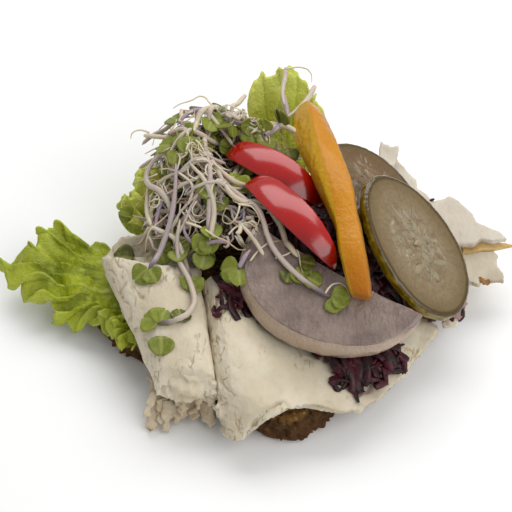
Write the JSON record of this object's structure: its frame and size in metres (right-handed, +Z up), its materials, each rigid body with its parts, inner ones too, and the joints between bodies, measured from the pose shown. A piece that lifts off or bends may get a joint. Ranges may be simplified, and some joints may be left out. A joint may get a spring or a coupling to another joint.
{
  "type": "open sandwich",
  "caption": "Open sandwich on dark rye bread with lettuce, folded cold roast, red cabbage, poached pear, sprouts, tomato, yellow pepper and pickled cucumber.",
  "frame": {"origin": "on the bread's flat underside, below the middle of the pile", "axes": "+X to the right and +Z up as the sandwich is served, +Y towards its back"},
  "size_m": [0.1755, 0.1392, 0.057],
  "materials": {
    "rye_bread": "rough, grainy",
    "lettuce": "waxy leaf",
    "cold_roast": "matt, fibrous",
    "browned_rim": "matt, browned",
    "red_cabbage": "moist",
    "poached_pear": "moist, matt",
    "tomato": "glossy skin",
    "yellow_pepper": "moist cut face",
    "pickled_cucumber": "wet, translucent",
    "sprouts": "fine, waxy"
  },
  "bodies": {
    "root": {"bread": "rye_bread", "lettuce_left": "lettuce", "lettuce_back_left": "lettuce", "lettuce_back": "lettuce", "meat_roll": "cold_roast", "meat_shreds": "cold_roast", "meat_front": "cold_roast", "meat_back_left": "cold_roast", "meat_right_low": "cold_roast", "meat_right_middle": "cold_roast", "meat_right_back": "cold_roast", "meat_chip": "cold_roast", "meat_scrap": "cold_roast", "meat_rim": "browned_rim", "pear": "poached_pear", "tomato_back": "tomato", "tomato_front": "tomato", "pepper_strip": "yellow_pepper", "pickle_back": "pickled_cucumber", "pickle_front": "pickled_cucumber", "red_cabbage": "red_cabbage", "sprouts": "sprouts"}
  },
  "joints": []
}
